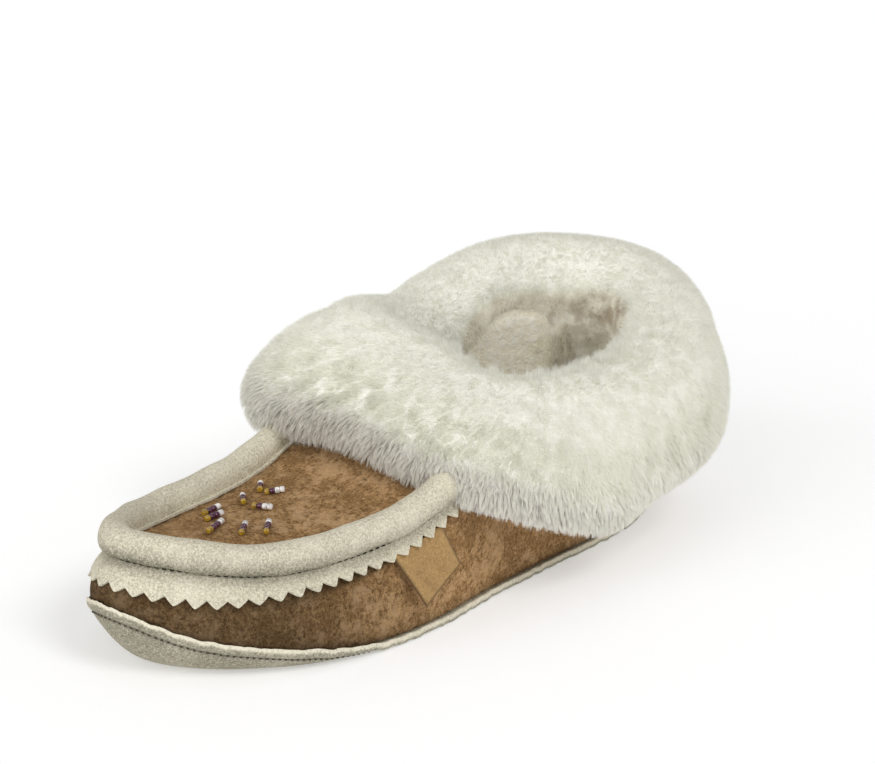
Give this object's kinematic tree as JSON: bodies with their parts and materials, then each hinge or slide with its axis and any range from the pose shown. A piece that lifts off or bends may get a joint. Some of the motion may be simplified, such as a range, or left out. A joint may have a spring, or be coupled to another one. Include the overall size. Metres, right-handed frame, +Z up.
{
  "type": "sheepskin slipper",
  "caption": "Soft-soled moccasin slipper with a suede upper, a padded apron seam with a zigzag trim, bead stitches and a folded sheepskin collar.",
  "frame": {"origin": "on the floor plane under the middle of the sole's length and the last's centre line", "axes": "+Z up from the floor, -Y to the toe, +Y to the heel, +X to the outer side of the foot"},
  "size_m": [0.1411, 0.2701, 0.0948],
  "materials": {
    "suede_cream": "cream suede with a fine nap",
    "suede_brown": "brown suede with a brushed nap",
    "leather_tan": "smooth tan leather",
    "sheepskin": "white wool pile",
    "fleece": "beige fleece",
    "beads": "glossy glass seed beads"
  },
  "bodies": {
    "root": {"outsole": "suede_cream", "insole": "fleece", "upper": "suede_brown", "apron": "suede_brown", "apron_roll": "suede_cream", "pinked_trim": "suede_cream", "tag": "leather_tan", "fur_collar": "sheepskin", "bead_stitch_1": "beads", "bead_stitch_2": "beads", "bead_stitch_3": "beads", "bead_stitch_4": "beads", "bead_stitch_5": "beads", "bead_stitch_6": "beads", "bead_stitch_7": "beads", "bead_stitch_8": "beads", "bead_stitch_9": "beads"}
  },
  "joints": []
}
